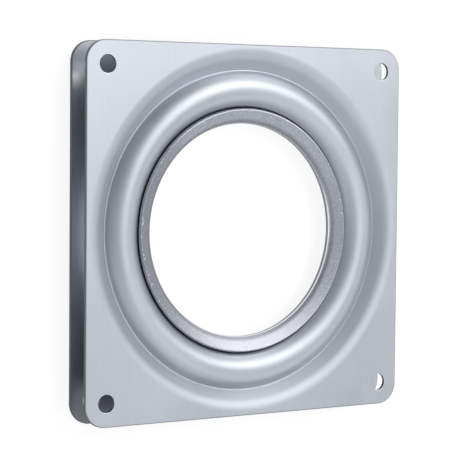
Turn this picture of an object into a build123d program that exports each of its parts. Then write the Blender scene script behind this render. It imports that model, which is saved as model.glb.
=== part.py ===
"""Square lazy susan bearing: two stamped steel plates that turn on a ring of loose balls.

The bearing lies flat. The origin is on its axis, on the underside of the bottom plate,
and +Z points along the axis to the plate that turns.

Each plate has a flat square border, a round dish, a half-round bead that is its ball race,
and an inner rim that the bead runs down into. The two plates face away from each other. The
bottom plate's rim goes up through the top plate as a collar, and the lip of the collar is
rolled out over the top plate's rim, which keeps the bearing together.

Every stamped section is drawn as the middle line of the sheet and then given the sheet's
thickness. Depths run into the bearing from the outer face of the plate. The widths of the
stamped rings add up inwards from the sides of the plate to the bore.
"""

import math
import os

from build123d import *

# Blank of both plates
plate_side = 101.6
corner_radius = 5.8
sheet = 1.0
sheared_edge = 0.2
hole_inset = 6.35
screw_hole_diameter = 4.8

# Balls
ball_diameter = 6.35
ball_gap = 0.4
ball_play = 0.125

# Dish and bead, which are alike in both plates. Bends are given by their inside radius
edge_border = 1.0
dish_width = 4.35
shoulder_bend = 5.0
root_bend = 0.25
root_gap = 1.0
crown_drop = 0.3
race_side_play = 1.185

# Inner rims, and how far the top plate's rim stops short of the collar
rim_bend = 0.5
rim_tip_play = 0.6

# Collar of the bottom plate
rim_play = 0.3
lip_setback = 0.25
lip_slope = 24.0
collar_width = 4.1

# Heights
half_sheet = sheet / 2
ball_radius = ball_diameter / 2
overall_height = ball_diameter + 2 * (ball_play + sheet + crown_drop)
middle = overall_height / 2

# Middle line of the dish, from its shoulder down to its root
root_depth = middle - root_gap / 2 - half_sheet
dish_slope = math.atan2(root_depth - half_sheet, dish_width)
ring_radius = plate_side / 2 - edge_border
dish_radius = ring_radius - (shoulder_bend + half_sheet) * math.tan(dish_slope / 2)
root_radius = dish_radius - dish_width

# Middle line of the bead, an arc from the root over its crown, which lies over the balls
bead_half_width = ball_radius + race_side_play + half_sheet
pitch_radius = root_radius - bead_half_width
crown_depth = crown_drop + half_sheet
bead_rise = root_depth - crown_depth
bead_radius = (bead_half_width**2 + bead_rise**2) / (2 * bead_rise)
bead_centre_depth = crown_depth + bead_radius


def bead_foot(depth):
    """Radius at which the middle line of the bead has come down to a depth on its inner side."""
    return pitch_radius - math.sqrt(bead_radius**2 - (bead_centre_depth - depth) ** 2)


# Collar: the lip, the bore, and the nose that joins the web to the lip
rim_radius = bead_foot(middle)
lip_radius = rim_radius - lip_setback
bore_radius = lip_radius - collar_width
nose_radius = rim_play + sheet
nose_centre_radius = bore_radius + half_sheet + nose_radius
web_depth = middle - nose_radius
web_radius = bead_foot(web_depth)
rim_tip_radius = bore_radius + sheet + rim_tip_play

# Section planes: X is the radius, Y is the depth
top_section = Plane(origin=(0, 0, overall_height), x_dir=(1, 0, 0), z_dir=(0, 1, 0))
bottom_section = Plane.XZ


def dish_and_bead(bead_end):
    """Middle line from the border through the dish and over the bead to bead_end."""
    root = (root_radius, root_depth)
    Polyline((ring_radius + sheet, half_sheet), (dish_radius, half_sheet), root)
    ThreePointArc(root, (pitch_radius, crown_depth), bead_end)


def bend(line, corner, inside_radius):
    """Round one corner of the middle line to the inside radius of the finished bend."""
    fillet(line.vertices().sort_by_distance(corner)[0], radius=inside_radius + half_sheet)


def bend_dish(line):
    """The two bends of the dish: the shoulder at its edge and the root by the bead."""
    bend(line, (dish_radius, half_sheet), shoulder_bend)
    bend(line, (root_radius, root_depth), root_bend)


# Ring of the top plate: dish, bead, and the rim that turns in under the lip
with BuildSketch() as top_ring:
    rim_start = (rim_radius, middle)
    with BuildLine() as middle_line:
        dish_and_bead(rim_start)
        Line(rim_start, (rim_tip_radius - sheet, middle))
        bend_dish(middle_line)
        bend(middle_line, rim_start, rim_bend)
        offset(amount=half_sheet)
    make_face()
    # Both ends are sheared square
    with Locations(((rim_tip_radius + ring_radius) / 2, middle)):
        Rectangle(ring_radius - rim_tip_radius, overall_height, mode=Mode.INTERSECT)

# Ring of the bottom plate: dish, bead, web, the nose round the bore, and the lip
with BuildSketch() as bottom_ring:
    web_start = (web_radius, web_depth)
    with BuildLine() as middle_line:
        dish_and_bead(web_start)
        web = Line(web_start, (nose_centre_radius, web_depth))
        nose = JernArc(web @ 1, web % 1, nose_radius, lip_slope - 180)
        PolarLine(nose @ 1, collar_width, lip_slope, length_mode=LengthMode.HORIZONTAL)
        bend_dish(middle_line)
        bend(middle_line, web_start, rim_bend)
        offset(amount=half_sheet)
    make_face()
    # The lip is trimmed upright, and the border is sheared square
    with Locations((lip_radius, middle)):
        Rectangle(ring_radius, overall_height, align=(Align.MIN, Align.MIN), mode=Mode.SUBTRACT)
    with Locations((ring_radius, half_sheet)):
        Rectangle(2 * sheet, 2 * sheet, align=(Align.MIN, Align.CENTER), mode=Mode.SUBTRACT)
    fillet(bottom_ring.vertices().sort_by(Axis.Y)[-1], radius=sheared_edge)

# The blank that both plates are stamped from
with BuildSketch() as blank:
    RectangleRounded(plate_side, plate_side, corner_radius)
    hole_spacing = plate_side - 2 * hole_inset
    with GridLocations(hole_spacing, hole_spacing, 2, 2):
        Circle(screw_hole_diameter / 2, mode=Mode.SUBTRACT)

# Bottom plate, outer face down
with BuildPart() as bottom_plate:
    with BuildSketch():
        add(blank.sketch)
    extrude(amount=sheet)
    fillet(bottom_plate.faces().sort_by(Axis.Z)[0].edges(), radius=sheared_edge)
    Cylinder(ring_radius, overall_height, mode=Mode.SUBTRACT)
    with BuildSketch(bottom_section):
        add(bottom_ring.sketch)
    revolve(axis=Axis.Z)

# Top plate, outer face up
with BuildPart() as top_plate:
    with BuildSketch(Plane.XY.offset(overall_height - sheet)):
        add(blank.sketch)
    extrude(amount=sheet)
    fillet(top_plate.faces().sort_by(Axis.Z)[-1].edges(), radius=sheared_edge)
    with Locations((0, 0, overall_height)):
        Cylinder(ring_radius, overall_height, mode=Mode.SUBTRACT)
    with BuildSketch(top_section):
        add(top_ring.sketch)
    revolve(axis=Axis.Z)

bottom_plate.part.label = "bottom_plate"
top_plate.part.label = "top_plate"
os.makedirs("parts", exist_ok=True)
export_step(bottom_plate.part, "parts/bottom_plate.step")
export_step(top_plate.part, "parts/top_plate.step")

# A full ring of loose balls, as many as the pitch circle holds
ball_step = 2 * math.asin((ball_diameter + ball_gap) / (2 * pitch_radius))
ball_count = math.floor(2 * math.pi / ball_step)
with Locations((0, 0, middle)):
    ball_places = PolarLocations(pitch_radius, ball_count).locations
for number, place in enumerate(ball_places, start=1):
    with BuildPart() as ball:
        with Locations(place):
            Sphere(ball_radius)
    ball.part.label = f"ball_{number:02d}"
    export_step(ball.part, f"parts/{ball.part.label}.step")
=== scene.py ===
import math

import bmesh
import bpy
from mathutils import Matrix, Vector


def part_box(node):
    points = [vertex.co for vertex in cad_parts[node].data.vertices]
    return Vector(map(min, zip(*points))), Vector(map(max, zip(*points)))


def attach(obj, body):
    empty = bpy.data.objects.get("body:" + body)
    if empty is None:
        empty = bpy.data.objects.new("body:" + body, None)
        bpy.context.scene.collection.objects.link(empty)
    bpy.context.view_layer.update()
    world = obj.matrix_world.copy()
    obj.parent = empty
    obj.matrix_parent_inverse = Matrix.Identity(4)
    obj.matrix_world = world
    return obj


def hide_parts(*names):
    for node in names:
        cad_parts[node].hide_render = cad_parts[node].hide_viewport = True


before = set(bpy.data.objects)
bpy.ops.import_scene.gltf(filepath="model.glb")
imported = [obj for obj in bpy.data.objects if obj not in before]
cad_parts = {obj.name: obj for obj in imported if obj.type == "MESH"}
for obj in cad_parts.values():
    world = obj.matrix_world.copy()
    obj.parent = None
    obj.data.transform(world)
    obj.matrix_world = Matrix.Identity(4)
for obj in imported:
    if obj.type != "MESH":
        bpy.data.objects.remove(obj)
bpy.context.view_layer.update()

# Square lazy susan bearing. Both stamped plates are drawn again over their solids, with smooth
# bends and rounded edges, and the balls between them are the solids themselves. Sizes are in
# metres: the square and the height come from the frame, and the rest are the bearing's own
MM = 0.001
plate_low, plate_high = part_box("top_plate")
plate_side = plate_high.x - plate_low.x
overall_height = plate_high.z
middle = overall_height / 2
sheet = 1.0 * MM
half_sheet = sheet / 2
sheared_edge = 0.2 * MM
corner_radius = 5.8 * MM
hole_inset = 6.35 * MM
hole_radius = 2.4 * MM

# Dish and bead, which are alike in both plates
edge_border = 1.0 * MM
dish_width = 4.35 * MM
shoulder_bend = 5.0 * MM
root_bend = 0.25 * MM
root_gap = 1.0 * MM
ball_radius = 3.175 * MM
race_side_play = 1.185 * MM
crown_drop = 0.3 * MM

# Inner rim of the top plate, and the collar of the bottom plate. The collar, and the end of the
# rim under its lip, lie 0.15 mm further out than in the solids, because the photograph shows a
# narrow gap round the lip
rim_bend = 0.5 * MM
rim_tip_play = 0.6 * MM
lip_setback = 0.1 * MM
lip_slope = math.radians(24.0)
collar_width = 4.1 * MM
rim_play = 0.3 * MM

# The middle line of the sheet, worked out from those
ring_radius = plate_side / 2 - edge_border
root_depth = middle - root_gap / 2 - half_sheet
dish_slope = math.atan2(root_depth - half_sheet, dish_width)
dish_radius = ring_radius - (shoulder_bend + half_sheet) * math.tan(dish_slope / 2)
root_radius = dish_radius - dish_width
bead_half_width = ball_radius + race_side_play + half_sheet
pitch_radius = root_radius - bead_half_width
crown_depth = crown_drop + half_sheet
bead_rise = root_depth - crown_depth
bead_radius = (bead_half_width**2 + bead_rise**2) / (2 * bead_rise)
rim_rise = crown_depth + bead_radius - middle
rim_radius = pitch_radius - math.sqrt(bead_radius**2 - rim_rise**2)
lip_radius = rim_radius - lip_setback
bore_radius = lip_radius - collar_width
rim_tip_radius = bore_radius + sheet + rim_tip_play

# How finely the shapes are divided, the width of the faces along an edge, and how close two
# points are that count as one
TURN_STEPS = 288
HOLE_STEPS = 64
CORNER_STEPS = 16
EDGE_STEPS = 3
ARC_STEP = math.radians(5)
TIGHT_ARC_STEP = math.radians(12)
EDGE_STRIP = 0.4 * MM
SAME_POINT = 0.001 * MM


def point(radius, depth):
    """A point of a section: X is the radius, and Z the depth below the plate's outer face."""
    return Vector((radius, 0, depth))


INWARDS = point(-1, 0)
DEEPER = point(0, 1)
bead_centre = point(pitch_radius, crown_depth + bead_radius)


def meeting(start, direction, radius):
    """Where the line from start first meets the circle of that radius about the bead's centre."""
    along = (bead_centre - start).dot(direction)
    across = (bead_centre - start - direction * along).length
    return start + direction * (along - math.sqrt(radius**2 - across**2))


class MiddleLine:
    """Draws the middle line of a sheet metal section with straight runs and arcs."""

    def __init__(self, bm, start):
        self.bm = bm
        self.tip = bmesh.ops.create_vert(bm, co=start)["vert"][0]

    def straight(self, end):
        """A straight run to a point."""
        self.tip = bmesh.ops.extrude_vert_indiv(self.bm, verts=[self.tip])["verts"][0]
        self.tip.co = end

    def arc(self, centre, towards, step=ARC_STEP):
        """An arc about a centre, by the shorter way, to the side where a point lies."""
        here = self.tip.co - centre
        there = towards - centre
        turn = math.atan2(here.cross(there).y, here.dot(there))
        steps = max(2, round(abs(turn) / step))
        spun = bmesh.ops.spin(
            self.bm, geom=[self.tip], cent=centre, axis=(0, 1, 0), angle=turn, steps=steps
        )
        self.tip = [g for g in spun["geom_last"] if isinstance(g, bmesh.types.BMVert)][0]


def draw_dish(bm):
    """The middle line of the dish: its shoulder, its sloping wall, and its root by the bead."""
    wall = point(root_radius - dish_radius, root_depth - half_sheet).normalized()
    outwards = point(-wall.z, wall.x)
    line = MiddleLine(bm, point(ring_radius, half_sheet))
    shoulder = line.tip.co + DEEPER * (shoulder_bend + half_sheet)
    line.arc(shoulder, shoulder + outwards)
    root_turn = root_bend + half_sheet
    beside_wall = point(dish_radius, half_sheet) + outwards * root_turn
    root = meeting(beside_wall, wall, bead_radius + root_turn)
    line.straight(root - outwards * root_turn)
    line.arc(root, bead_centre, TIGHT_ARC_STEP)
    return line


def turn_in(line, depth):
    """Over the bead, down its inner side, and round the bend into a rim at a depth."""
    turn = rim_bend + half_sheet
    foot = meeting(point(0, depth - turn), -INWARDS, bead_radius + turn)
    line.arc(bead_centre, foot)
    line.arc(foot, foot + DEEPER, TIGHT_ARC_STEP)


def draw_rim(line):
    """The bead of the top plate, and the rim that turns in under the lip."""
    turn_in(line, middle)
    line.straight(point(rim_tip_radius, middle))


def draw_collar(line):
    """The bead of the bottom plate, its web, the nose round the bore, and the rolled lip."""
    nose_radius = rim_play + sheet
    nose = point(bore_radius + half_sheet + nose_radius, middle)
    turn_in(line, middle - nose_radius)
    line.straight(nose - DEEPER * nose_radius)
    lip_way = point(math.cos(lip_slope), math.sin(lip_slope))
    line.arc(nose, nose + point(-lip_way.z, lip_way.x))
    line.straight(line.tip.co + lip_way * (lip_radius - line.tip.co.x) / lip_way.x)


def spin_ring(bm):
    """Turn the middle line once round the axis. Gives back the edges of its outer circle."""
    bmesh.ops.spin(
        bm, geom=bm.verts[:] + bm.edges[:], axis=(0, 0, 1), cent=(0, 0, 0),
        angle=math.tau, steps=TURN_STEPS, use_merge=True,
    )
    bmesh.ops.remove_doubles(bm, verts=bm.verts, dist=SAME_POINT)
    at_border = half_sheet + SAME_POINT
    return [e for e in bm.edges if e.is_boundary and max(v.co.z for v in e.verts) < at_border]


def circle(bm, radius, x, y):
    """The edges of a circle, halfway through the border's sheet."""
    place = Matrix.Translation((x, y, half_sheet))
    made = bmesh.ops.create_circle(bm, segments=HOLE_STEPS, radius=radius, matrix=place)
    return list({edge for vert in made["verts"] for edge in vert.link_edges})


def rounded_square(bm, side, radius):
    """The edges of a square with round corners, halfway through the border's sheet."""
    place = Matrix.Translation((0, 0, half_sheet))
    square = bmesh.ops.create_grid(bm, size=side / 2, matrix=place)["verts"]
    bmesh.ops.bevel(
        bm, geom=square, offset=radius, offset_type="OFFSET", affect="VERTICES",
        segments=CORNER_STEPS, profile=0.5, material=-1,
    )
    face = max(bm.faces, key=lambda flat: flat.calc_area())
    edges = list(face.edges)
    bmesh.ops.delete(bm, geom=[face], context="FACES_ONLY")
    return edges


def draw_border(bm, ring_edges):
    """The flat square border round the ring, with its round corners and its four screw holes."""
    outside = rounded_square(bm, plate_side, corner_radius)
    inside = rounded_square(bm, plate_side - 2 * EDGE_STRIP, corner_radius - EDGE_STRIP)
    bmesh.ops.bridge_loops(bm, edges=outside + inside)
    outline = list(ring_edges) + inside
    place = plate_side / 2 - hole_inset
    for x, y in ((-place, -place), (place, -place), (place, place), (-place, place)):
        hole = circle(bm, hole_radius, x, y)
        round_hole = circle(bm, hole_radius + EDGE_STRIP, x, y)
        bmesh.ops.bridge_loops(bm, edges=hole + round_hole)
        outline += round_hole
    bmesh.ops.triangle_fill(bm, edges=outline, use_beauty=True, normal=(0, 0, -1))


def plate(name, draw_middle, placed):
    """One stamped plate: its middle surface, given the sheet's thickness and rounded edges."""
    bm = bmesh.new()
    draw_middle(draw_dish(bm))
    draw_border(bm, spin_ring(bm))
    bmesh.ops.recalc_face_normals(bm, faces=bm.faces)
    bmesh.ops.transform(bm, matrix=placed, verts=bm.verts)
    mesh = bpy.data.meshes.new(name)
    bm.to_mesh(mesh)
    bm.free()
    mesh.shade_smooth()
    piece = bpy.data.objects.new(name, mesh)
    bpy.context.scene.collection.objects.link(piece)
    thickness = piece.modifiers.new("sheet thickness", "SOLIDIFY")
    thickness.thickness = sheet
    thickness.offset = 0
    thickness.use_even_offset = True
    thickness.use_quality_normals = True
    # The rim of the sheet gets the second material, the cut edge
    thickness.material_offset_rim = 1
    edges = piece.modifiers.new("sheared edges", "BEVEL")
    edges.width = sheared_edge
    edges.segments = EDGE_STEPS
    edges.limit_method = "ANGLE"
    edges.angle_limit = math.radians(50)
    edges.harden_normals = True
    shading = piece.modifiers.new("flat faces stay flat", "WEIGHTED_NORMAL")
    shading.mode = "FACE_AREA"
    shading.weight = 100
    shading.keep_sharp = True
    return piece


# Both plates are drawn with their outer face down, and the top one is then turned over
turned_over = Matrix.Translation((0, 0, overall_height)) @ Matrix.Rotation(math.pi, 4, "X")
top = plate("top_stamping", draw_rim, turned_over)
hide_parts("top_plate")
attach(top, "turntable")
bottom = plate("bottom_stamping", draw_collar, Matrix.Identity(4))
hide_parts("bottom_plate")
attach(bottom, "base")


def shader(name):
    """A new material, with its nodes, its links and its Principled shader."""
    material = bpy.data.materials.new(name)
    material.use_nodes = True
    tree = material.node_tree
    return material, tree, tree.nodes["Principled BSDF"]


def own_place(tree):
    """The piece's own coordinates, in metres from the middle of the bearing's underside."""
    return tree.nodes.new("ShaderNodeTexCoord").outputs["Object"]


def noise(tree, place, fineness, detail=2):
    """Noise with so many features to the metre along X, Y and Z."""
    mapping = tree.nodes.new("ShaderNodeMapping")
    mapping.inputs["Scale"].default_value = fineness
    texture = tree.nodes.new("ShaderNodeTexNoise")
    texture.inputs["Scale"].default_value = 1
    texture.inputs["Detail"].default_value = detail
    tree.links.new(place, mapping.inputs["Vector"])
    tree.links.new(mapping.outputs["Vector"], texture.inputs["Vector"])
    return texture.outputs["Fac"]


def turned(tree, value, start, end, low=0.0, high=1.0):
    """A value that runs smoothly from low to high while the other one runs from start to end."""
    ramp = tree.nodes.new("ShaderNodeMapRange")
    ramp.interpolation_type = "SMOOTHSTEP"
    tree.links.new(value, ramp.inputs["Value"])
    for name, number in (("From Min", start), ("From Max", end), ("To Min", low), ("To Max", high)):
        ramp.inputs[name].default_value = number
    return ramp.outputs["Result"]


def worked(tree, operation, first, *others):
    """Values and numbers worked together, one after the other."""
    result = first
    for other in others:
        node = tree.nodes.new("ShaderNodeMath")
        node.operation = operation
        for socket, value in zip(node.inputs, (result, other)):
            if isinstance(value, (int, float)):
                socket.default_value = value
            else:
                tree.links.new(value, socket)
        result = node.outputs["Value"]
    return result


def mixed(tree, share, first, second):
    """Two colours mixed by a value. Each colour is given as numbers or comes from another node."""
    node = tree.nodes.new("ShaderNodeMix")
    node.data_type = "RGBA"
    tree.links.new(share, node.inputs["Factor"])
    # The colour sockets have the same names as others of the node, so they go by number
    first_socket, second_socket, result = node.inputs[6], node.inputs[7], node.outputs[2]
    for socket, colour in ((first_socket, first), (second_socket, second)):
        if isinstance(colour, tuple):
            socket.default_value = (*colour, 1)
        else:
            tree.links.new(colour, socket)
    return result


def vector_worked(tree, operation, vector, numbers=None):
    """A vector worked by itself, or together with three numbers."""
    node = tree.nodes.new("ShaderNodeVectorMath")
    node.operation = operation
    tree.links.new(vector, node.inputs[0])
    if numbers:
        node.inputs[1].default_value = numbers
    return node.outputs["Vector"]


def apart(tree, place):
    """The three coordinates of a place."""
    parts = tree.nodes.new("ShaderNodeSeparateXYZ")
    tree.links.new(place, parts.inputs["Vector"])
    return parts.outputs["X"], parts.outputs["Y"], parts.outputs["Z"]


def flat_length(tree, vector):
    """The length of a vector seen along the bearing's axis."""
    node = tree.nodes.new("ShaderNodeVectorMath")
    node.operation = "LENGTH"
    tree.links.new(vector_worked(tree, "MULTIPLY", vector, (1, 1, 0)), node.inputs[0])
    return node.outputs["Value"]


def from_hole(tree, place):
    """The distance from the axis of the nearest screw hole."""
    inset = plate_side / 2 - hole_inset
    corner = vector_worked(tree, "ABSOLUTE", place)
    return flat_length(tree, vector_worked(tree, "SUBTRACT", corner, (inset, inset, 0)))


def to_side(tree, place):
    """The distance to the plate's outline, measured inwards."""
    inset = plate_side / 2 - corner_radius
    corner = vector_worked(tree, "ABSOLUTE", place)
    corner = vector_worked(tree, "SUBTRACT", corner, (inset, inset, 0))
    corner = vector_worked(tree, "MAXIMUM", corner, (0, 0, 0))
    return worked(tree, "SUBTRACT", corner_radius, flat_length(tree, corner))


def band(tree, value, start, end, soft):
    """1 where a value lies from start to end, and 0 elsewhere, with soft sides."""
    return worked(
        tree, "MULTIPLY",
        turned(tree, value, start - soft, start + soft),
        turned(tree, value, end + soft, end - soft),
    )


def raised(tree, height, depth, below=None):
    """A normal from a height between 0 and 1 that stands so many metres proud."""
    bump = tree.nodes.new("ShaderNodeBump")
    bump.inputs["Distance"].default_value = depth
    tree.links.new(height, bump.inputs["Height"])
    if below:
        tree.links.new(below, bump.inputs["Normal"])
    return bump.outputs["Normal"]


def lip_colour(tree, x, y, grain):
    """The grainy grey of the rolled lip, with a painted highlight towards the front and painted
    shade on its left.
    """
    share = turned(tree, grain, 0.38, 0.62)
    grey = mixed(tree, share, (0.355, 0.367, 0.415), (0.455, 0.47, 0.525))
    bright = mixed(tree, share, (0.49, 0.5, 0.54), (0.55, 0.56, 0.6))
    # Painted highlight: the front of the lip is made brighter, except on its left
    in_front = turned(tree, y, -12 * MM, -31 * MM)
    off_left = turned(tree, x, -25 * MM, -8 * MM)
    colour = mixed(tree, worked(tree, "MULTIPLY", in_front, off_left), grey, bright)
    # Painted shade: the left of the lip is mixed towards a dark grey
    return mixed(tree, turned(tree, x, -16 * MM, -31 * MM, 0, 0.4), colour, (0.2, 0.205, 0.235))


def lip_sparks(tree, place, lip):
    """Painted glints: bright specks near the edge of the lip, most of them on its left, and a
    painted highlight along the corner of the lip at the back."""
    x, y, _ = apart(tree, place)
    radius = flat_length(tree, place)
    specks = noise(tree, place, (1300, 1300, 1300), 1)
    specks = worked(tree, "ADD", specks, turned(tree, x, -24 * MM, -32 * MM, 0, 0.07))
    by_edge = band(tree, radius, lip_radius - 0.9 * MM, lip_radius - 0.2 * MM, 0.15 * MM)
    specks = worked(tree, "MULTIPLY", turned(tree, specks, 0.68, 0.76), by_edge)
    # Painted highlight along the corner of the lip, at the back only
    corner = turned(tree, radius, lip_radius - 0.5 * MM, lip_radius - 0.35 * MM, 0, 0.85)
    at_back = turned(tree, y, 20 * MM, 29 * MM)
    return worked(tree, "MAXIMUM", specks, worked(tree, "MULTIPLY", at_back, corner, lip))


def nose_marks(tree, place):
    """Where painted shade darkens the nose round the bore below, and where a painted highlight lies
    along a line of the nose on its front half.
    """
    _, y, height = apart(tree, place)
    nose = turned(tree, flat_length(tree, place), bore_radius + 0.6 * MM, bore_radius + 0.5 * MM)
    # Painted shade below the nose
    below = turned(tree, height, middle + 0.4 * MM, middle + 0.2 * MM)
    # Painted highlight: a bright line on the nose, on its front half only
    line = band(tree, height, middle + 0.45 * MM, middle + 0.8 * MM, 0.1 * MM)
    rolled = turned(tree, y, 14 * MM, 2 * MM)
    return worked(tree, "MULTIPLY", nose, below), worked(tree, "MULTIPLY", nose, line, rolled)


def lower_plate_marks(tree, x, y, lower):
    """Where painted shade darkens the left of the lower plate, towards its front, and where a
    painted highlight lies on its side, near its back corner."""
    # Painted shade on the left of the lower plate, towards its front
    in_front = turned(tree, y, -24 * MM, -44 * MM, 0, 0.6)
    painted_front_shade = worked(tree, "MULTIPLY", in_front, turned(tree, x, 0, -30 * MM), lower)
    # Painted highlight on the lower plate's side, near its back corner
    near_corner = band(tree, y, 38.5 * MM, 42 * MM, 1.2 * MM)
    at_side = turned(tree, x, -47 * MM, -50 * MM, 0, 0.8)
    return painted_front_shade, worked(tree, "MULTIPLY", near_corner, at_side, lower)


def zinc_coat():
    """Satin zinc coat on rolled sheet. It is dull in the dish and on the lower plate, grainy on
    the rolled lip, and worn bright in the root of the dish and round the punched holes."""
    material, tree, coat = shader("zinc_coat")
    place = own_place(tree)
    x, y, height = apart(tree, place)
    radius = flat_length(tree, place)
    rolling_lines = noise(tree, place, (3000, 70, 3000), 4)
    cross_lines = noise(tree, place, (70, 2600, 2600), 2)
    clouds = noise(tree, place, (55, 40, 55), 3)
    grain = noise(tree, place, (2500, 2500, 2500), 1)
    tone = worked(tree, "ADD", worked(tree, "MULTIPLY", rolling_lines, 0.3),
                  worked(tree, "MULTIPLY", clouds, 0.7))

    # How much of each mark there is at a place
    lip = turned(tree, radius, lip_radius + 0.6 * MM, lip_radius + 0.3 * MM)
    lower = turned(tree, height, middle, middle - 1 * MM)
    dish = band(tree, radius, root_radius + 0.5 * MM, ring_radius, 0.5 * MM)
    dull = worked(tree, "MAXIMUM", dish, lower)
    painted_front_shade, painted_side_highlight = lower_plate_marks(tree, x, y, lower)
    under_nose, nose_line = nose_marks(tree, place)
    # Painted shade in the throat of the bore and under the nose
    throat = band(tree, radius, bore_radius + 0.3 * MM, bore_radius + 1.3 * MM, 0.3 * MM)
    painted_shade = worked(tree, "MAXIMUM", worked(tree, "MULTIPLY", throat, 0.4), under_nose)
    # Painted shade: a dark line along the plate's outline
    outline = turned(tree, to_side(tree, place), 0.35 * MM, 0.15 * MM, 0, 0.8)
    root = band(tree, radius, root_radius - 0.1 * MM, root_radius + 0.1 * MM, 0.1 * MM)
    punched = band(tree, from_hole(tree, place), hole_radius, hole_radius + 0.2 * MM, 0.15 * MM)
    # Worn bright in the root of the dish and round the punched holes, and a painted highlight along
    # the nose line
    burnish_and_painted_highlight = worked(tree, "MAXIMUM", root, punched, nose_line)
    # Painted glints on the lip, and half the nose line's painted highlight added to them
    sparks = lip_sparks(tree, place, lip)
    sparks = worked(tree, "MAXIMUM", sparks, worked(tree, "MULTIPLY", nose_line, 0.5))

    # The sheet's own colour, and each mark's colour over it
    colour = mixed(tree, turned(tree, tone, 0.3, 0.7), (0.455, 0.475, 0.525), (0.505, 0.525, 0.575))
    marks = (
        (lip, lip_colour(tree, x, y, grain)),
        (painted_front_shade, (0.08, 0.085, 0.1)),
        (painted_side_highlight, (0.95, 0.95, 0.96)),
        (painted_shade, (0.21, 0.215, 0.24)),
        (outline, (0.16, 0.165, 0.18)),
        (burnish_and_painted_highlight, (0.63, 0.65, 0.7)),
        (sparks, (0.95, 0.96, 0.97)),
    )
    for share, mark_colour in marks:
        colour = mixed(tree, share, colour, mark_colour)
    tree.links.new(colour, coat.inputs["Base Color"])

    rough = turned(tree, tone, 0.3, 0.7, 0.39, 0.45)
    for share, rougher in ((lip, 0.06), (dull, 0.07), (burnish_and_painted_highlight, -0.12), (sparks, -0.2)):
        rough = worked(tree, "ADD", rough, worked(tree, "MULTIPLY", share, rougher))
    tree.links.new(rough, coat.inputs["Roughness"])

    # The sheet is a little wavy, and the lines and the grain stand on the waves
    lines = worked(tree, "ADD", rolling_lines, worked(tree, "MULTIPLY", cross_lines, 0.5),
                   worked(tree, "MULTIPLY", grain, 0.5))
    waves = raised(tree, noise(tree, place, (38, 38, 38), 1), 0.2 * MM)
    tree.links.new(raised(tree, lines, 0.0016 * MM, waves), coat.inputs["Normal"])
    coat.inputs["Metallic"].default_value = 1
    return material


def cut_steel():
    """Sheared edge of the sheet: dull bare steel, its colour darkened with painted shade, but zinc
    on the edge of the lip.
    """
    material, tree, steel = shader("cut_steel")
    place = own_place(tree)
    drag_lines = noise(tree, place, (5000, 5000, 350), 3)
    grain = noise(tree, place, (5000, 5000, 5000), 2)
    wear = worked(tree, "MULTIPLY", worked(tree, "ADD", drag_lines, grain), 0.5)
    wear_share = turned(tree, wear, 0.35, 0.65)
    # Painted shade: the bare steel is given a near black colour
    colour = mixed(tree, wear_share, (0.07, 0.075, 0.09), (0.14, 0.145, 0.165))
    zinc_colour = mixed(tree, wear_share, (0.34, 0.355, 0.39), (0.60, 0.615, 0.66))
    at_lip = turned(tree, flat_length(tree, place), lip_radius + 2 * MM, lip_radius + 1 * MM)
    tree.links.new(mixed(tree, at_lip, colour, zinc_colour), steel.inputs["Base Color"])
    tree.links.new(turned(tree, wear, 0.35, 0.65, 0.46, 0.6), steel.inputs["Roughness"])
    tree.links.new(raised(tree, wear, 0.004 * MM), steel.inputs["Normal"])
    steel.inputs["Metallic"].default_value = 1
    return material


def bearing_steel():
    """Ground and polished ball, with a faint haze from running."""
    material, tree, steel = shader("bearing_steel")
    place = own_place(tree)
    haze = noise(tree, place, (900, 900, 900), 3)
    marks = noise(tree, place, (400, 6000, 6000), 2)
    wear = worked(tree, "MULTIPLY", worked(tree, "ADD", haze, marks), 0.5)
    colour = mixed(tree, turned(tree, wear, 0.35, 0.65), (0.68, 0.69, 0.71), (0.76, 0.77, 0.79))
    tree.links.new(colour, steel.inputs["Base Color"])
    tree.links.new(turned(tree, wear, 0.4, 0.7, 0.07, 0.16), steel.inputs["Roughness"])
    steel.inputs["Metallic"].default_value = 1
    return material


# Finishes of the plates, which have cut edges, and of the balls
sheet_finish = zinc_coat()
edge_finish = cut_steel()
for piece in (top, bottom):
    piece.data.materials.append(sheet_finish)
    piece.data.materials.append(edge_finish)
ball_finish = bearing_steel()
for name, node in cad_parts.items():
    if name.startswith("ball"):
        node.data.materials.clear()
        node.data.materials.append(ball_finish)

# Pale floor, just clear of the bearing. It glows a little, so it stays near white in its shadows
floor_half_side = 3
floor_drop = 0.02 * MM
floor_mesh = bpy.data.meshes.new("floor")
bm = bmesh.new()
lowered = Matrix.Translation((0, 0, -floor_drop))
bmesh.ops.create_grid(bm, size=floor_half_side, matrix=lowered)
bm.to_mesh(floor_mesh)
bm.free()
floor = bpy.data.objects.new("floor", floor_mesh)
bpy.context.scene.collection.objects.link(floor)
floor_paint, _, floor_coat = shader("floor_paint")
floor_coat.inputs["Base Color"].default_value = (0.26, 0.26, 0.26, 1)
floor_coat.inputs["Roughness"].default_value = 0.9
floor_coat.inputs["Specular IOR Level"].default_value = 0
floor_coat.inputs["Emission Color"].default_value = (1, 1, 1, 1)
floor_coat.inputs["Emission Strength"].default_value = 0.82
floor_mesh.materials.append(floor_paint)


PANEL_DISTANCE = 0.9


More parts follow.
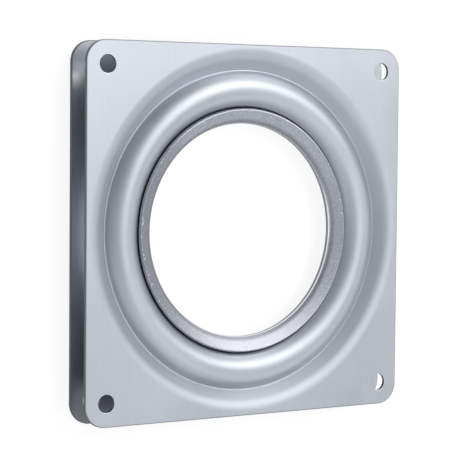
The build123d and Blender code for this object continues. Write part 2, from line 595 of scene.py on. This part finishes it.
def soft_box(name, bearing, height, width, tall, brightness, tint=(1, 1, 1)):
    """A lit panel aimed at the part. Where it stands and how large it looks are in degrees."""
    round_part = math.radians(bearing)
    above = math.radians(height)
    way = Vector((
        math.cos(round_part) * math.cos(above),
        math.sin(round_part) * math.cos(above),
        math.sin(above),
    ))
    lamp = bpy.data.lights.new(name, "AREA")
    lamp.shape = "RECTANGLE"
    lamp.size = 2 * PANEL_DISTANCE * math.tan(math.radians(width / 2))
    lamp.size_y = 2 * PANEL_DISTANCE * math.tan(math.radians(tall / 2))
    lamp.energy = brightness * math.pi * lamp.size * lamp.size_y
    lamp.color = tint
    panel = bpy.data.objects.new(name, lamp)
    panel.location = way * PANEL_DISTANCE
    panel.rotation_euler = way.to_track_quat("Z", "Y").to_euler()
    bpy.context.scene.collection.objects.link(panel)


# Soft light all round: a slightly cool room, a slightly warm main box behind on the right, low
# strips behind and on the left, and weaker boxes beside and over the part
world = bpy.data.worlds.new("studio")
bpy.context.scene.world = world
world.use_nodes = True
room = world.node_tree.nodes["Background"]
room.inputs["Color"].default_value = (0.97, 1, 1.05, 1)
room.inputs["Strength"].default_value = 0.37
soft_box("main_box", 42, 50, 34, 24, 3.35, (1, 0.975, 0.95))
soft_box("main_box_upper", 60, 71, 30, 20, 0.7)
soft_box("side_box", 40, 28, 50, 20, 0.58)
soft_box("right_box", 340, 28, 50, 24, 0.87)
soft_box("front_box", 295, 42, 44, 40, 0.6)
soft_box("front_left_box", 235, 48, 44, 30, 0.5)
soft_box("low_strip_back", 62, 10, 40, 18, 1.9)
soft_box("low_strip_front_left", 195, 10, 44, 18, 2.6)
soft_box("overhead_right", 345, 72, 50, 24, 1)
soft_box("overhead_left", 225, 72, 50, 24, 0.2)
soft_box("overhead_back", 130, 72, 40, 24, 0.1)

# Camera at the photograph's viewing angle. The shift is its place in front of the top plate's
# face, seen in the camera's own directions
view_yaw = math.radians(32.91)
view_pitch = math.radians(3.22)
view_roll = math.radians(-0.51)
view_shift = Vector((-4.046, -1.127, 513.7)) * MM
view_turn = (
    Matrix.Rotation(view_roll, 3, "Z")
    @ Matrix.Rotation(view_pitch, 3, "X")
    @ Matrix.Rotation(view_yaw, 3, "Y")
).transposed()
camera_data = bpy.data.cameras.new("camera")
camera_data.sensor_width = 36
camera_data.lens = 143.8
camera_data.clip_start = 0.05
camera = bpy.data.objects.new("camera", camera_data)
bpy.context.scene.collection.objects.link(camera)
camera.matrix_world = Matrix.Translation(
    view_turn @ view_shift + Vector((0, 0, overall_height))
) @ view_turn.to_4x4()
bpy.context.scene.camera = camera
bpy.context.scene.view_settings.view_transform = "Standard"
